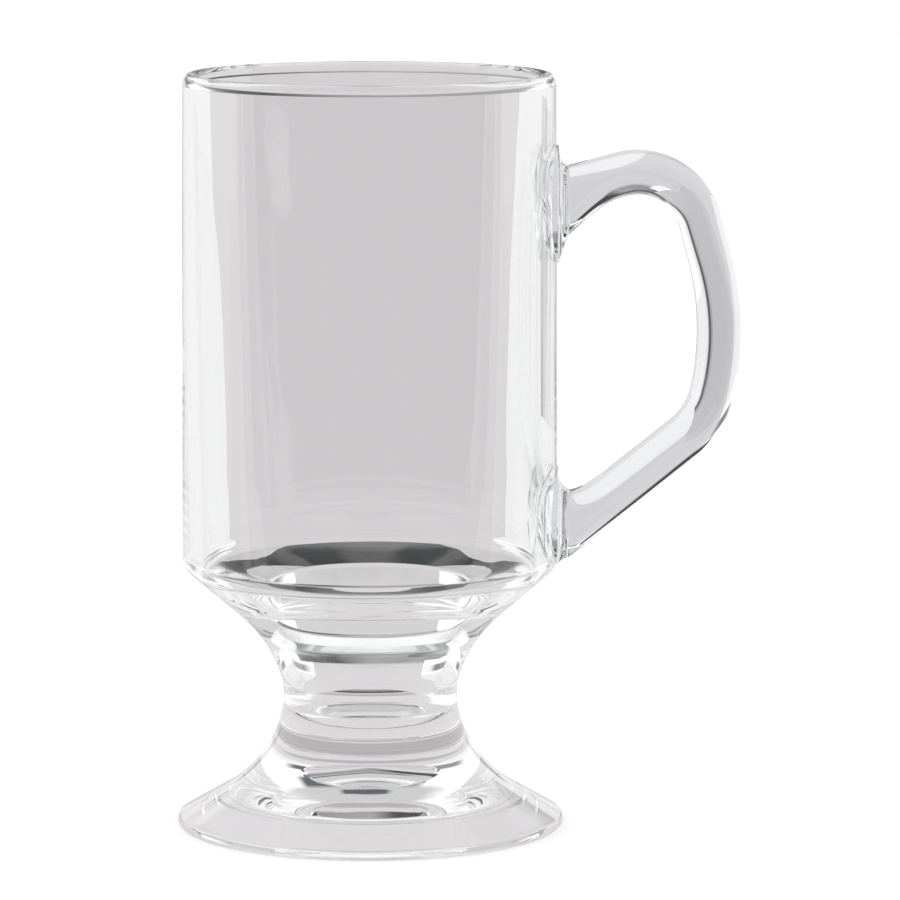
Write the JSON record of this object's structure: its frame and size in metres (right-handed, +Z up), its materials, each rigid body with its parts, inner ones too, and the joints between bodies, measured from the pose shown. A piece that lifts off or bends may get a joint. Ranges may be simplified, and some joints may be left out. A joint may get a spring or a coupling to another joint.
{
  "type": "irish coffee glass mug",
  "caption": "Clear glass footed mug with a tall straight bowl, a short waisted stem, a round hollow foot and one large looped handle.",
  "frame": {"origin": "centre of the foot's resting ring, on the table plane", "axes": "+Z up along the axis of the bowl, +X towards the handle, Y across the mug"},
  "size_m": [0.1064, 0.0732, 0.143],
  "materials": {
    "clear_glass": "clear fire-polished soda-lime glass, very slightly grey-green in its thickness"
  },
  "bodies": {
    "root": {"bowl": "clear_glass", "stem": "clear_glass", "foot": "clear_glass", "handle": "clear_glass", "upper_handle_pad": "clear_glass", "lower_handle_pad": "clear_glass"}
  },
  "joints": []
}
